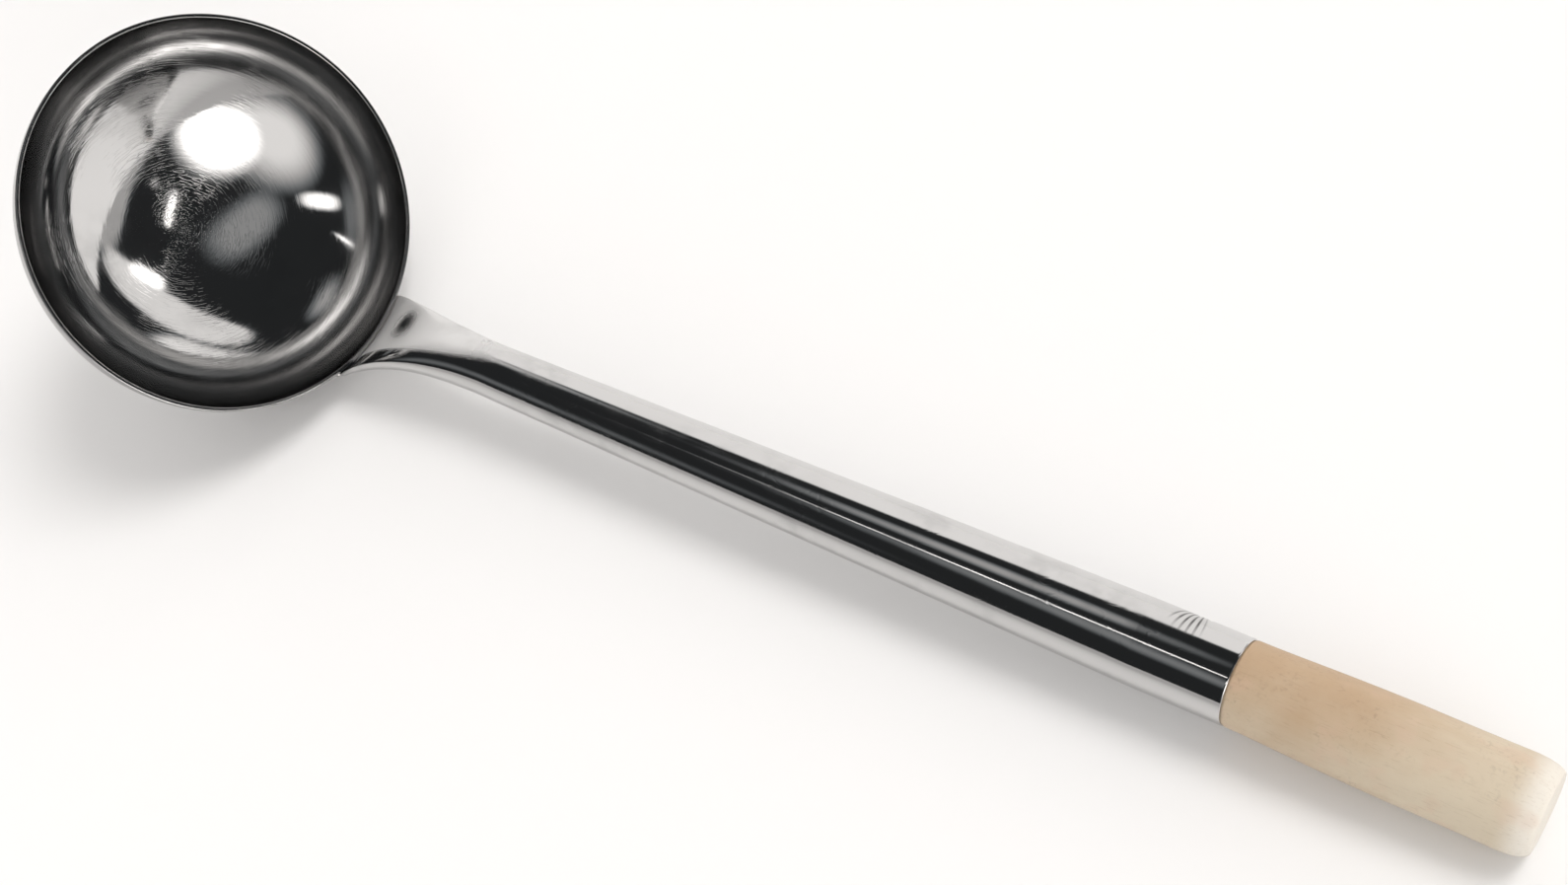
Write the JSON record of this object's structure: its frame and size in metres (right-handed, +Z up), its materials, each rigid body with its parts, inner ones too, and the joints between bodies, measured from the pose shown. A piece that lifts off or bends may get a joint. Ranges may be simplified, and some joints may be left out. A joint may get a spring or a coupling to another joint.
{
  "type": "ladle",
  "caption": "Long-handled cooking ladle: round polished steel bowl on a tapered steel tube with a turned wooden grip, for lifting and pouring hot food.",
  "frame": {"origin": "middle of the ladle's bounding box on the surface that it lies on", "axes": "+X from the bowl towards the butt of the grip, +Z up when the ladle lies at rest on the tongue under its bowl and on its butt, +Y completes a right-handed frame; the ladle is mirrored about Y = 0 apart from its nail"},
  "size_m": [0.4422, 0.116, 0.0994],
  "materials": {
    "bowl_steel": "mirror polished stainless sheet with fine hairline scratches inside the bowl",
    "tube_steel": "mirror polished stainless tube with faint lengthwise polishing lines",
    "weld_metal": "ground and polished weld bead, slightly duller than the sheet",
    "grip_wood": "pale close-grained hardwood, sanded smooth and lightly oiled, paler at the butt",
    "nail_steel": "plain bright steel nail head"
  },
  "bodies": {
    "root": {"bowl": "bowl_steel", "handle_tube": "tube_steel", "neck_weld": "weld_metal", "wood_grip": "grip_wood", "grip_nail": "nail_steel"}
  },
  "joints": []
}
